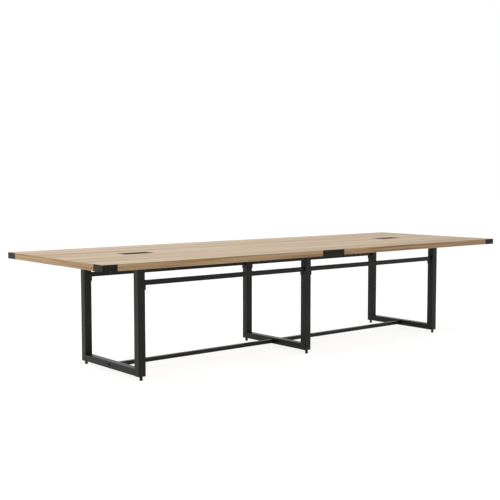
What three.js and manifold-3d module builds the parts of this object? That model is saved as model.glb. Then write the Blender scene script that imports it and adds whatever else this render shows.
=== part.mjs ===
// Conference table: a laminate top in two halves on three welded leg frames, tied by rails
// and a floor stretcher, with a flip-lid power unit let into each half of the top.
// Millimetres, +Z up. The origin is on the floor under the middle of the table.
// +X runs along the table to the right, and -Y is the front.

import * as THREE from 'three';
import { mergeVertices } from 'three/addons/utils/BufferGeometryUtils.js';
import Module from 'manifold-3d';

// The whole table
const TABLE_LENGTH = 3600;
const TABLE_WIDTH = 1200;
const TABLE_HEIGHT = 750;
const SEAT_GAP = 0.3; // left between pieces that touch
const CUT_MARGIN = 1; // how far a cutting tool runs past the face it opens

// Top
const TOP_THICKNESS = 40;
const TOP_ARRIS = 1.2;
const TOP_CORNER = 2.5;
const TOP_UNDERSIDE = TABLE_HEIGHT - TOP_THICKNESS;
const DOWEL_DIAMETER = 10;
const DOWEL_LENGTH = 60;
const DOWEL_Y = { front: -420, middle: 0, rear: 420 };

// Folded steel plates on the edge of the top
const PLATE_THICKNESS = 2;
const PLATE_BEND = 2.4;
const CORNER_PLATE_ARM = 100;
const CORNER_FLANGE_ARM = 90;
const CORNER_FLANGE_TIP = 14;
const CORNER_SCREW_NEAR = 18;
const CORNER_SCREW_FAR = 62;
const SEAM_PLATE_LENGTH = 200;
const SEAM_FLANGE_DEPTH = 50;
const SEAM_SCREW_X = [-80, -30, 30, 80];
const SEAM_SCREW_DEPTH = 30;
const PLATE_SCREW_HOLE = 5;

// Leg frames
const FRAME_X = { left: -1382, middle: 0, right: 1382 };
const LEG_Y = 323;
const LEG_SIZE = 52;
const LEG_BOTTOM = 25;
const LEG_TOP = TOP_UNDERSIDE - SEAT_GAP;
const FRAME_WALL = 2;
const FRAME_CORNER = 4;
const BOTTOM_BAR_HEIGHT = 44;
const TOP_BAR_HEIGHT = 27;
const TOP_PLATE_THICKNESS = 3;
const TOP_PLATE_LENGTH = 140;
const TOP_PLATE_WIDTH = 60;
const TOP_PLATE_Y = 180;
const TOP_PLATE_SCREW_X = 58;
const TOP_PLATE_SCREW_Y = 18;
const TOP_PLATE_SCREW_HOLE = 5.5;
const WELD_DEPTH = 0.5;
const BAR_SPAN = 2 * (LEG_Y - LEG_SIZE / 2 - SEAT_GAP);

// Rails under the top and stretcher near the floor
const RAIL_SIZE = 30;
const RAIL_BOTTOM = 582.5;
const RAIL_WALL = 1.5;
const RAIL_CORNER = 2;
const END_PLATE_THICKNESS = 5;
const END_PLATE_BOTTOM = 555;
const END_PLATE_MARGIN = 1;
const RAIL_BOLT_Z = 570;
const RAIL_BOLT_HOLE = 7;
const VENT_HOLE = 8;
const STRETCHER_WIDTH = 30;
const STRETCHER_HEIGHT = 26;
const STRETCHER_Z = 46;
const STRETCHER_BOLT_HOLE = 9;

// Levelling feet, set outboard of the leg's centre line
const FOOT_OFFSET = 10;
const FOOT_PAD_DIAMETER = 22;
const FOOT_PAD_HEIGHT = 7;
const FOOT_PAD_CHAMFER = 1;
const FOOT_HEX_ACROSS_CORNERS = 19;
const FOOT_STUD_DIAMETER = 10;
const FOOT_STUD_TOP = 58;
const SOLE_THICKNESS = 6; // plate in the bottom of the leg, tapped for the foot

// Power units: one in each half of the top, with heights measured from the top surface
const POWER_UNIT_X = { left: -1200, right: 1200 };
const BEZEL_LENGTH = 225;
const BEZEL_WIDTH = 115;
const BEZEL_CORNER = 4;
const BEZEL_THICKNESS = 3;
const WELL_LENGTH = 201;
const WELL_WIDTH = 90;
const SKIRT_WALL = 3;
const SKIRT_DEPTH = 42;
const LEDGE_WIDTH = 3;
const LEDGE_THICKNESS = 3;
const LID_THICKNESS = 4;
const LID_CLEARANCE = 0.6;
const LID_BARREL_RADIUS = 5;
const HINGE_Y = WELL_WIDTH / 2 - LID_CLEARANCE - LID_BARREL_RADIUS;
const HINGE_Z = -LID_BARREL_RADIUS;
const PIN_DIAMETER = 3;
const PIN_BORE = 3.7;
const NOTCH_RADIUS = 16;
const NOTCH_CENTRE_Y = -52;
const NOTCH_LEDGE_GAP = 40;
const TUB_LENGTH = 211;
const TUB_WIDTH = 100;
const TUB_WALL = 1.5;
const TUB_BOTTOM = 95;
const TUB_CORNER = 3;
const TUB_RIM = 8;
const TUB_SCREW_HOLE = 4;
const OUTLET_WALL = 2;
const OUTLET_HEIGHT = 23;
const SOCKET_X = [-62, 62];
const SOCKET_SLOT = { width: 2.4, length: 8.4, spacing: 12.7, y: 6 };
const SOCKET_EARTH = { diameter: 5.4, y: -6 };
const PORT_X = [-13, 13];
const PORT_SIZE = { length: 15, width: 13 };
const INSERT_LENGTH = 62;
const INSERT_WIDTH = 24;
const INSERT_LIP = 2;
const INSERT_LIP_THICKNESS = 1.5;
const INSERT_CORNER = 1.5;
const INLET_BORE = 10;
const INLET_BODY = 20;
const INLET_FLANGE = 26;
const INLET_FLANGE_THICKNESS = 3;
const INLET_DEPTH = 82;

// Facets
const CORNER_STEPS = 2;
const ROUND_SIDES = 18;
const HOLE_SIDES = 10;
const HEX_SIDES = 6;
const MERGE_DISTANCE = 1e-4;

// Finishes, as the table shows them
const FINISHES = {
  laminate: { color: 0xcab69f, roughness: 0.45, metalness: 0 },
  beech: { color: 0xc9a878, roughness: 0.8, metalness: 0 },
  blackPaint: { color: 0x2e2e2c, roughness: 0.5, metalness: 0 },
  blackPlastic: { color: 0x1f1f1f, roughness: 0.55, metalness: 0 },
  blackAluminium: { color: 0x26241f, roughness: 0.45, metalness: 0.6 },
  zincSteel: { color: 0xb4b6b8, roughness: 0.35, metalness: 1 },
};

const wasm = await Module();
wasm.setup();

function toSolid(geometry) {
  const bare = geometry.clone();
  bare.deleteAttribute('normal');
  bare.deleteAttribute('uv');
  const merged = mergeVertices(bare, MERGE_DISTANCE);
  const vertProperties = new Float32Array(merged.attributes.position.array);
  const triVerts = new Uint32Array(merged.index.array);
  return new wasm.Manifold(new wasm.Mesh({ numProp: 3, vertProperties, triVerts }));
}

function toGeometry(solid) {
  const mesh = solid.getMesh();
  const geometry = new THREE.BufferGeometry();
  geometry.setAttribute('position', new THREE.BufferAttribute(mesh.vertProperties, 3));
  geometry.setIndex(new THREE.BufferAttribute(mesh.triVerts, 1));
  geometry.computeVertexNormals();
  return geometry;
}

function join(...geometries) {
  return toGeometry(geometries.map(toSolid).reduce((whole, part) => whole.add(part)));
}

function cut(geometry, tools) {
  return toGeometry(tools.reduce((rest, tool) => rest.subtract(toSolid(tool)), toSolid(geometry)));
}

// Turns a shape drawn in XY and extruded along Z so that it runs along X or Y instead:
// along X the shape's axes become Y and Z, and along Y they become Z and X.
const AXIS_X = new THREE.Vector3(1, 0, 0);
const AXIS_Y = new THREE.Vector3(0, 1, 0);
const AXIS_Z = new THREE.Vector3(0, 0, 1);
const ALONG_X = new THREE.Matrix4().makeBasis(AXIS_Y, AXIS_Z, AXIS_X);
const ALONG_Y = new THREE.Matrix4().makeBasis(AXIS_Z, AXIS_X, AXIS_Y);

function roundedOutline(path, width, height, radius) {
  const x = width / 2 - radius;
  const y = height / 2 - radius;
  path.absarc(x, y, radius, 0, Math.PI / 2);
  path.absarc(-x, y, radius, Math.PI / 2, Math.PI);
  path.absarc(-x, -y, radius, Math.PI, 1.5 * Math.PI);
  path.absarc(x, -y, radius, 1.5 * Math.PI, 2 * Math.PI);
  return path;
}

// An extrusion centred on the XY plane
function extrude(shape, depth) {
  const settings = { depth, bevelEnabled: false, curveSegments: CORNER_STEPS };
  return new THREE.ExtrudeGeometry(shape, settings).translate(0, 0, -depth / 2);
}

function roundedBar(width, height, radius, length) {
  return extrude(roundedOutline(new THREE.Shape(), width, height, radius), length);
}

function roundedTube(width, height, wall, radius, length) {
  const shape = roundedOutline(new THREE.Shape(), width, height, radius);
  shape.holes.push(roundedOutline(new THREE.Path(), width - 2 * wall, height - 2 * wall, radius - wall / 2));
  return extrude(shape, length);
}

function box(length, width, height, x = 0, y = 0, z = 0) {
  return new THREE.BoxGeometry(length, width, height).translate(x, y, z);
}

// A round bar along Z, centred on the origin
function round(diameter, length, sides = HOLE_SIDES) {
  return new THREE.CylinderGeometry(diameter / 2, diameter / 2, length, sides).rotateX(Math.PI / 2);
}

function roundAlongX(diameter, length, sides = HOLE_SIDES) {
  return round(diameter, length, sides).applyMatrix4(ALONG_X);
}

// Places one named piece in its group
function addPiece(group, name, geometry, finish, x = 0, y = 0, z = 0) {
  const mesh = new THREE.Mesh(geometry, new THREE.MeshStandardMaterial(FINISHES[finish]));
  mesh.name = name;
  mesh.position.set(x, y, z);
  group.add(mesh);
  return mesh;
}

// Corner plates: a folded angle round the corner, with a flange below for its two screws.
// The corner is at the origin, and the arms run along +X and +Y.
function cornerFlange(gap) {
  const reach = CORNER_FLANGE_ARM + gap;
  const tip = CORNER_FLANGE_TIP + gap;
  const start = PLATE_THICKNESS / 2;
  const shape = new THREE.Shape();
  shape.moveTo(start, start);
  shape.lineTo(reach, start);
  shape.lineTo(reach, tip);
  shape.lineTo(tip, reach);
  shape.lineTo(start, reach);
  return shape;
}

function cornerPlate() {
  const bendInside = PLATE_BEND - PLATE_THICKNESS;
  const angle = new THREE.Shape();
  angle.moveTo(CORNER_PLATE_ARM, 0);
  angle.absarc(PLATE_BEND, PLATE_BEND, PLATE_BEND, -Math.PI / 2, -Math.PI, true);
  angle.lineTo(0, CORNER_PLATE_ARM);
  angle.lineTo(PLATE_THICKNESS, CORNER_PLATE_ARM);
  angle.absarc(PLATE_BEND, PLATE_BEND, bendInside, Math.PI, 1.5 * Math.PI);
  angle.lineTo(CORNER_PLATE_ARM, PLATE_THICKNESS);
  const walls = extrude(angle, TOP_THICKNESS).translate(0, 0, TOP_THICKNESS / 2);
  const flange = extrude(cornerFlange(0), PLATE_THICKNESS).translate(0, 0, PLATE_THICKNESS / 2);
  const places = [[CORNER_SCREW_FAR, CORNER_SCREW_NEAR], [CORNER_SCREW_NEAR, CORNER_SCREW_FAR]];
  const holes = places.map(([x, y]) => round(PLATE_SCREW_HOLE, TOP_THICKNESS).translate(x, y, 0));
  return cut(join(walls, flange), holes);
}

// Seam plate: an angle along the front edge that laps both halves of the top.
// Its outer face is on Y = 0, its underside on Z = 0, and its middle on the seam.
function seamPlate() {
  const bendInside = PLATE_BEND - PLATE_THICKNESS;
  const section = new THREE.Shape();
  section.moveTo(SEAM_FLANGE_DEPTH, 0);
  section.absarc(PLATE_BEND, PLATE_BEND, PLATE_BEND, -Math.PI / 2, -Math.PI, true);
  section.lineTo(0, TOP_THICKNESS);
  section.lineTo(PLATE_THICKNESS, TOP_THICKNESS);
  section.absarc(PLATE_BEND, PLATE_BEND, bendInside, Math.PI, 1.5 * Math.PI);
  section.lineTo(SEAM_FLANGE_DEPTH, PLATE_THICKNESS);
  const plate = extrude(section, SEAM_PLATE_LENGTH).applyMatrix4(ALONG_X);
  const holes = SEAM_SCREW_X.map((x) => (
    round(PLATE_SCREW_HOLE, TOP_THICKNESS).translate(x, SEAM_SCREW_DEPTH, 0)
  ));
  return cut(plate, holes);
}

// Left half of the top: a board with eased edges, sawn square at the seam, with the power
// unit's cut-out and rebate, dowel holes, and shallow pockets below for the plates' flanges.
function topHalf() {
  const inset = PLATE_THICKNESS + SEAT_GAP;
  const boardLength = TABLE_LENGTH - 2 * inset;
  const boardWidth = TABLE_WIDTH - 2 * inset;
  const outline = roundedOutline(new THREE.Shape(), boardLength, boardWidth, TOP_CORNER);
  const board = new THREE.ExtrudeGeometry(outline, {
    depth: TOP_THICKNESS - 2 * TOP_ARRIS,
    bevelSize: TOP_ARRIS,
    bevelOffset: -TOP_ARRIS,
    bevelThickness: TOP_ARRIS,
    bevelSegments: 2,
    curveSegments: 1,
  }).translate(0, 0, TOP_UNDERSIDE + TOP_ARRIS);

  const otherHalf = box(TABLE_LENGTH, TABLE_WIDTH, TABLE_HEIGHT)
    .translate((TABLE_LENGTH - SEAT_GAP) / 2, 0, TABLE_HEIGHT);
  const skirtLength = WELL_LENGTH + 2 * (SKIRT_WALL + SEAT_GAP);
  const skirtWidth = WELL_WIDTH + 2 * (SKIRT_WALL + SEAT_GAP);
  const cutOut = box(skirtLength, skirtWidth, 3 * TOP_THICKNESS, POWER_UNIT_X.left, 0, TABLE_HEIGHT);
  const rebateDepth = BEZEL_THICKNESS + SEAT_GAP;
  const rebate = roundedBar(
    BEZEL_LENGTH + 2 * SEAT_GAP,
    BEZEL_WIDTH + 2 * SEAT_GAP,
    BEZEL_CORNER + SEAT_GAP,
    2 * rebateDepth,
  ).translate(POWER_UNIT_X.left, 0, TABLE_HEIGHT);
  const dowelHoles = Object.values(DOWEL_Y).map((y) => (
    roundAlongX(DOWEL_DIAMETER + 3 * SEAT_GAP, DOWEL_LENGTH + 2 * SEAT_GAP, ROUND_SIDES)
      .translate(0, y, TABLE_HEIGHT - TOP_THICKNESS / 2)
  ));
  const pocketDepth = 2 * (PLATE_THICKNESS + SEAT_GAP);
  const frontPocket = extrude(cornerFlange(SEAT_GAP), pocketDepth)
    .translate(-TABLE_LENGTH / 2, -TABLE_WIDTH / 2, TOP_UNDERSIDE);
  const rearPocket = extrude(cornerFlange(SEAT_GAP), pocketDepth)
    .rotateZ(-Math.PI / 2)
    .translate(-TABLE_LENGTH / 2, TABLE_WIDTH / 2, TOP_UNDERSIDE);
  const flangeWidth = 2 * (SEAM_FLANGE_DEPTH + SEAT_GAP);
  const seamPockets = [-1, 1].map((side) => (
    box(SEAM_PLATE_LENGTH + 2 * SEAT_GAP, flangeWidth, pocketDepth, 0, side * TABLE_WIDTH / 2, TOP_UNDERSIDE)
  ));
  return cut(board, [otherHalf, cutOut, rebate, ...dowelHoles, frontPocket, rearPocket, ...seamPockets]);
}

function top() {
  const group = new THREE.Group();
  const half = topHalf();
  addPiece(group, 'top_left', half, 'laminate');
  addPiece(group, 'top_right', half, 'laminate').rotation.z = Math.PI;
  for (const [place, y] of Object.entries(DOWEL_Y)) {
    const dowel = roundAlongX(DOWEL_DIAMETER, DOWEL_LENGTH - 2 * SEAT_GAP, ROUND_SIDES);
    addPiece(group, `seam_dowel_${place}`, dowel, 'beech', 0, y, TABLE_HEIGHT - TOP_THICKNESS / 2);
  }
  const plate = seamPlate();
  addPiece(group, 'seam_plate_front', plate, 'blackPaint', 0, -TABLE_WIDTH / 2, TOP_UNDERSIDE);
  const rearY = TABLE_WIDTH / 2;
  const rearPlate = addPiece(group, 'seam_plate_rear', plate, 'blackPaint', 0, rearY, TOP_UNDERSIDE);
  rearPlate.rotation.z = Math.PI;
  const corner = cornerPlate();
  const places = ['front_left', 'front_right', 'rear_right', 'rear_left'];
  places.forEach((place, quarterTurns) => {
    const x = place.endsWith('left') ? -TABLE_LENGTH / 2 : TABLE_LENGTH / 2;
    const y = place.startsWith('front') ? -TABLE_WIDTH / 2 : TABLE_WIDTH / 2;
    const mesh = addPiece(group, `corner_plate_${place}`, corner, 'blackPaint', x, y, TOP_UNDERSIDE);
    mesh.rotation.z = quarterTurns * Math.PI / 2;
  });
  return group;
}

// Leg: square tube with a bolt hole in each side that carries a rail, and a sole plate welded
// into the bottom that is tapped for the foot
function leg(railSides, side) {
  const tube = roundedTube(LEG_SIZE, LEG_SIZE, FRAME_WALL, FRAME_CORNER, LEG_TOP - LEG_BOTTOM)
    .translate(0, 0, (LEG_TOP + LEG_BOTTOM) / 2);
  const soleSize = LEG_SIZE - 2 * FRAME_WALL + 2 * WELD_DEPTH;
  const sole = box(soleSize, soleSize, SOLE_THICKNESS, 0, 0, LEG_BOTTOM + SOLE_THICKNESS / 2);
  const footBore = round(FOOT_STUD_DIAMETER + 3 * SEAT_GAP, 4 * SOLE_THICKNESS, ROUND_SIDES)
    .translate(0, side * FOOT_OFFSET, LEG_BOTTOM);
  const boltHoles = railSides.map((railSide) => (
    roundAlongX(RAIL_BOLT_HOLE, LEG_SIZE / 2).translate(railSide * LEG_SIZE / 2, 0, RAIL_BOLT_Z)
  ));
  return cut(join(tube, sole), [footBore, ...boltHoles]);
}

function bottomBar() {
  const tube = roundedTube(BOTTOM_BAR_HEIGHT, LEG_SIZE, FRAME_WALL, FRAME_CORNER, BAR_SPAN)
    .applyMatrix4(ALONG_Y)
    .translate(0, 0, LEG_BOTTOM + BOTTOM_BAR_HEIGHT / 2);
  const boltHole = roundAlongX(STRETCHER_BOLT_HOLE, 2 * LEG_SIZE).translate(0, 0, STRETCHER_Z);
  return cut(tube, [boltHole]);
}

// Top bar: a flat tube between the legs with two welded plates that screw to the top
function topBar() {
  const plateBottom = LEG_TOP - TOP_PLATE_THICKNESS;
  const tube = roundedTube(TOP_BAR_HEIGHT, LEG_SIZE, FRAME_WALL, FRAME_CORNER, BAR_SPAN)
    .applyMatrix4(ALONG_Y)
    .translate(0, 0, plateBottom - TOP_BAR_HEIGHT / 2);
  const plateHeight = TOP_PLATE_THICKNESS + WELD_DEPTH;
  const plates = [-1, 1].map((side) => (
    roundedBar(TOP_PLATE_LENGTH, TOP_PLATE_WIDTH, FRAME_CORNER, plateHeight)
      .translate(0, side * TOP_PLATE_Y, LEG_TOP - plateHeight / 2)
  ));
  const holes = [];
  for (const side of [-1, 1]) {
    for (const x of [-TOP_PLATE_SCREW_X, TOP_PLATE_SCREW_X]) {
      for (const y of [-TOP_PLATE_SCREW_Y, TOP_PLATE_SCREW_Y]) {
        holes.push(round(TOP_PLATE_SCREW_HOLE, TOP_THICKNESS).translate(x, side * TOP_PLATE_Y + y, LEG_TOP));
      }
    }
  }
  return cut(join(tube, ...plates), holes);
}

// Foot: a round pad under a hexagon for the spanner, on a stud that screws into the leg's sole
function foot() {
  const edge = FOOT_PAD_DIAMETER / 2;
  const hexTop = LEG_BOTTOM - SEAT_GAP;
  const pad = new THREE.LatheGeometry([
    new THREE.Vector2(0, 0),
    new THREE.Vector2(edge - FOOT_PAD_CHAMFER, 0),
    new THREE.Vector2(edge, FOOT_PAD_CHAMFER),
    new THREE.Vector2(edge, FOOT_PAD_HEIGHT - 2 * FOOT_PAD_CHAMFER),
    new THREE.Vector2(edge - 2 * FOOT_PAD_CHAMFER, FOOT_PAD_HEIGHT),
    new THREE.Vector2(0, FOOT_PAD_HEIGHT),
  ], ROUND_SIDES).rotateX(Math.PI / 2);
  const hexHeight = hexTop - FOOT_PAD_HEIGHT + WELD_DEPTH;
  const hex = round(FOOT_HEX_ACROSS_CORNERS, hexHeight, HEX_SIDES).translate(0, 0, hexTop - hexHeight / 2);
  const studLength = FOOT_STUD_TOP - FOOT_PAD_HEIGHT;
  const stud = round(FOOT_STUD_DIAMETER, studLength, ROUND_SIDES)
    .translate(0, 0, FOOT_STUD_TOP - studLength / 2);
  return join(pad, hex, stud);
}

function legFrame(place) {
  const group = new THREE.Group();
  group.position.x = FRAME_X[place];
  const railSides = { left: [1], middle: [-1, 1], right: [-1] }[place];
  for (const [end, side] of [['front', -1], ['rear', 1]]) {
    const y = side * LEG_Y;
    addPiece(group, `leg_${place}_${end}`, leg(railSides, side), 'blackPaint', 0, y);
    addPiece(group, `foot_${place}_${end}`, foot(), 'blackPlastic', 0, y + side * FOOT_OFFSET);
  }
  addPiece(group, `bottom_bar_${place}`, bottomBar(), 'blackPaint');
  addPiece(group, `top_bar_${place}`, topBar(), 'blackPaint');
  return group;
}

// Rail: square tube, open at the ends, between two end plates
function rail(length) {
  return roundedTube(RAIL_SIZE, RAIL_SIZE, RAIL_WALL, RAIL_CORNER, length)
    .applyMatrix4(ALONG_X)
    .translate(0, 0, RAIL_BOTTOM + RAIL_SIZE / 2);
}

// End plate: welded over the end of a rail, and hanging below it for the bolt into the leg.
// The upper hole lets the tube drain when it is painted.
function endPlate() {
  const height = RAIL_BOTTOM + RAIL_SIZE - END_PLATE_MARGIN - END_PLATE_BOTTOM;
  const plate = roundedBar(RAIL_SIZE - 2 * END_PLATE_MARGIN, height, RAIL_CORNER, END_PLATE_THICKNESS)
    .applyMatrix4(ALONG_X)
    .translate(0, 0, END_PLATE_BOTTOM + height / 2);
  const vent = roundAlongX(VENT_HOLE, RAIL_SIZE).translate(0, 0, RAIL_BOTTOM + RAIL_SIZE / 2);
  const boltHole = roundAlongX(RAIL_BOLT_HOLE, RAIL_SIZE).translate(0, 0, RAIL_BOLT_Z);
  return cut(plate, [vent, boltHole]);
}

// Stretcher: flat tube with closed ends, tapped for the bolt that comes through the bottom bar
function stretcher(length) {
  const bar = roundedBar(STRETCHER_WIDTH, STRETCHER_HEIGHT, RAIL_CORNER, length).applyMatrix4(ALONG_X);
  const core = box(
    length - 2 * END_PLATE_THICKNESS,
    STRETCHER_WIDTH - 2 * RAIL_WALL,
    STRETCHER_HEIGHT - 2 * RAIL_WALL,
  );
  const boltHoles = roundAlongX(STRETCHER_BOLT_HOLE - CUT_MARGIN, length + 2 * CUT_MARGIN);
  return cut(bar, [core, boltHoles]);
}

function rails() {
  const group = new THREE.Group();
  for (const place of ['left', 'right']) {
    const gap = Math.abs(FRAME_X[place] - FRAME_X.middle) - LEG_SIZE - 2 * SEAT_GAP;
    const railLength = gap - 2 * (END_PLATE_THICKNESS + SEAT_GAP);
    const x = (FRAME_X[place] + FRAME_X.middle) / 2;
    const outerX = x + Math.sign(x) * (gap - END_PLATE_THICKNESS) / 2;
    const innerX = x - Math.sign(x) * (gap - END_PLATE_THICKNESS) / 2;
    for (const [end, y] of [['front', -LEG_Y], ['rear', LEG_Y]]) {
      addPiece(group, `rail_${end}_${place}`, rail(railLength), 'blackPaint', x, y);
      addPiece(group, `rail_plate_${end}_${place}_outer`, endPlate(), 'blackPaint', outerX, y);
      addPiece(group, `rail_plate_${end}_${place}_inner`, endPlate(), 'blackPaint', innerX, y);
    }
    addPiece(group, `stretcher_${place}`, stretcher(gap), 'blackPaint', x, 0, STRETCHER_Z);
  }
  return group;
}

// Bezel: a flush flange with a skirt through the top, ledges that the lid closes on, and
// a bore in each end of the skirt for the hinge pin
function bezel() {
  const flange = roundedBar(BEZEL_LENGTH, BEZEL_WIDTH, BEZEL_CORNER, BEZEL_THICKNESS)
    .translate(0, 0, -BEZEL_THICKNESS / 2);
  const skirt = box(WELL_LENGTH + 2 * SKIRT_WALL, WELL_WIDTH + 2 * SKIRT_WALL, SKIRT_DEPTH - CUT_MARGIN)
    .translate(0, 0, -(SKIRT_DEPTH + CUT_MARGIN) / 2);
  const well = box(WELL_LENGTH, WELL_WIDTH, 3 * SKIRT_DEPTH);
  const ledgeLength = (WELL_LENGTH - NOTCH_LEDGE_GAP) / 2 + CUT_MARGIN;
  const ledgeX = (WELL_LENGTH + NOTCH_LEDGE_GAP + 2 * CUT_MARGIN) / 4;
  const ledgeTop = -LID_THICKNESS - SEAT_GAP;
  const ledges = [-1, 1].map((side) => box(
    ledgeLength,
    LEDGE_WIDTH + CUT_MARGIN,
    LEDGE_THICKNESS,
    side * ledgeX,
    (LEDGE_WIDTH - CUT_MARGIN - WELL_WIDTH) / 2,
    ledgeTop - LEDGE_THICKNESS / 2,
  ));
  const bores = roundAlongX(PIN_BORE, BEZEL_LENGTH, ROUND_SIDES).translate(0, HINGE_Y, HINGE_Z);
  const frame = cut(join(flange, skirt), [well]);
  return cut(join(frame, ...ledges), [bores]);
}

// Lid: an extruded section, a flat plate that ends in the hinge barrel, with a finger notch
function lid() {
  const front = LID_CLEARANCE - WELL_WIDTH / 2;
  const underside = -LID_THICKNESS;
  const barrelMeetsPlate = Math.asin((underside - HINGE_Z) / LID_BARREL_RADIUS);
  const section = new THREE.Shape();
  section.moveTo(front, underside);
  section.lineTo(front, -TOP_ARRIS);
  section.lineTo(front + TOP_ARRIS, 0);
  section.absarc(HINGE_Y, HINGE_Z, LID_BARREL_RADIUS, Math.PI / 2, barrelMeetsPlate - Math.PI, true);
  section.absarc(HINGE_Y, HINGE_Z, LID_BARREL_RADIUS, -Math.PI, -Math.PI - barrelMeetsPlate, true);
  const bore = new THREE.Path();
  bore.absarc(HINGE_Y, HINGE_Z, PIN_BORE / 2, 0, 2 * Math.PI);
  section.holes.push(bore);
  const length = WELL_LENGTH - 2 * LID_CLEARANCE;
  const settings = { depth: length, bevelEnabled: false, curveSegments: ROUND_SIDES / 2 };
  const plate = new THREE.ExtrudeGeometry(section, settings)
    .translate(0, 0, -length / 2)
    .applyMatrix4(ALONG_X);
  const notch = round(2 * NOTCH_RADIUS, TOP_THICKNESS, 2 * ROUND_SIDES).translate(0, NOTCH_CENTRE_Y, 0);
  return cut(plate, [notch]);
}

// Tub: a pressed box under the cut-out, with a rim that screws to the underside of the top
// and a round hole in one end for the cable inlet
function tub(inletSide) {
  const rimTop = -TOP_THICKNESS - SEAT_GAP;
  const height = TUB_BOTTOM + rimTop;
  const rimLength = TUB_LENGTH + 2 * TUB_RIM;
  const rimWidth = TUB_WIDTH + 2 * TUB_RIM;
  const shell = roundedBar(TUB_LENGTH, TUB_WIDTH, TUB_CORNER, height).translate(0, 0, rimTop - height / 2);
  const rim = roundedBar(rimLength, rimWidth, TUB_CORNER, TUB_WALL).translate(0, 0, rimTop - TUB_WALL / 2);
  const insideLength = TUB_LENGTH - 2 * TUB_WALL;
  const insideWidth = TUB_WIDTH - 2 * TUB_WALL;
  const inside = roundedBar(insideLength, insideWidth, TUB_CORNER - TUB_WALL, height)
    .translate(0, 0, rimTop - height / 2 + TUB_WALL);
  const screwX = (TUB_LENGTH + TUB_RIM) / 2;
  const screwY = (TUB_WIDTH + TUB_RIM) / 4;
  const screwHoles = [[1, 1], [1, -1], [-1, 1], [-1, -1]].map(([sideX, sideY]) => (
    round(TUB_SCREW_HOLE, TOP_THICKNESS).translate(sideX * screwX, sideY * screwY, rimTop)
  ));
  const inletHole = roundAlongX(INLET_BODY + 2 * SEAT_GAP, TUB_RIM * 2, ROUND_SIDES)
    .translate(inletSide * TUB_LENGTH / 2, 0, -INLET_DEPTH);
  return cut(join(shell, rim), [inside, ...screwHoles, inletHole]);
}

// Outlet panel: a folded channel that stands on the tub's floor, pierced for two three-pin
// sockets, with a window between them for the data insert
const OUTLET_BOTTOM = -TUB_BOTTOM + TUB_WALL + SEAT_GAP;
const OUTLET_FACE = OUTLET_BOTTOM + OUTLET_HEIGHT;

function outletPanel() {
  const width = TUB_WIDTH - 2 * TUB_WALL - 2 * SEAT_GAP;
  const length = TUB_LENGTH - 2 * TUB_WALL - 2 * SEAT_GAP - 2 * TUB_CORNER;
  const middle = OUTLET_BOTTOM + OUTLET_HEIGHT / 2;
  const channel = box(length, width, OUTLET_HEIGHT, 0, 0, middle);
  const hollow = box(length + 2 * CUT_MARGIN, width - 2 * OUTLET_WALL, OUTLET_HEIGHT)
    .translate(0, 0, middle - OUTLET_WALL);
  const windowLength = INSERT_LENGTH - 2 * INSERT_LIP + 2 * SEAT_GAP;
  const windowWidth = INSERT_WIDTH - 2 * INSERT_LIP + 2 * SEAT_GAP;
  const openings = [box(windowLength, windowWidth, OUTLET_HEIGHT, 0, 0, OUTLET_FACE)];
  for (const x of SOCKET_X) {
    for (const side of [-1, 1]) {
      const slotX = x + side * SOCKET_SLOT.spacing / 2;
      const slot = box(SOCKET_SLOT.width, SOCKET_SLOT.length, OUTLET_HEIGHT);
      openings.push(slot.translate(slotX, SOCKET_SLOT.y, OUTLET_FACE));
    }
    openings.push(round(SOCKET_EARTH.diameter, OUTLET_HEIGHT).translate(x, SOCKET_EARTH.y, OUTLET_FACE));
  }
  return cut(channel, [hollow, ...openings]);
}

// Data insert: a lipped frame that drops into the outlet panel's window and holds two ports
function dataInsert() {
  const lipTop = OUTLET_FACE + SEAT_GAP + INSERT_LIP_THICKNESS;
  const bodyHeight = lipTop - CUT_MARGIN - OUTLET_FACE + OUTLET_WALL;
  const lip = roundedBar(INSERT_LENGTH, INSERT_WIDTH, INSERT_CORNER, INSERT_LIP_THICKNESS)
    .translate(0, 0, lipTop - INSERT_LIP_THICKNESS / 2);
  const body = box(INSERT_LENGTH - 2 * INSERT_LIP, INSERT_WIDTH - 2 * INSERT_LIP, bodyHeight)
    .translate(0, 0, lipTop - CUT_MARGIN - bodyHeight / 2);
  const ports = PORT_X.map((x) => box(PORT_SIZE.length, PORT_SIZE.width, OUTLET_HEIGHT, x, 0, OUTLET_FACE));
  return cut(join(lip, body), ports);
}

// Inlet: a flanged bush in the tub's end wall, drawn about Z with the flange at the bottom
function inlet() {
  const bore = INLET_BORE / 2;
  const body = INLET_BODY / 2;
  const flange = INLET_FLANGE / 2;
  const length = INLET_FLANGE_THICKNESS + SEAT_GAP + TUB_WALL;
  return new THREE.LatheGeometry([
    new THREE.Vector2(bore, 0),
    new THREE.Vector2(flange, 0),
    new THREE.Vector2(flange, INLET_FLANGE_THICKNESS),
    new THREE.Vector2(body, INLET_FLANGE_THICKNESS),
    new THREE.Vector2(body, length),
    new THREE.Vector2(bore, length),
    new THREE.Vector2(bore, 0),
  ], ROUND_SIDES).rotateX(Math.PI / 2);
}

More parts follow.
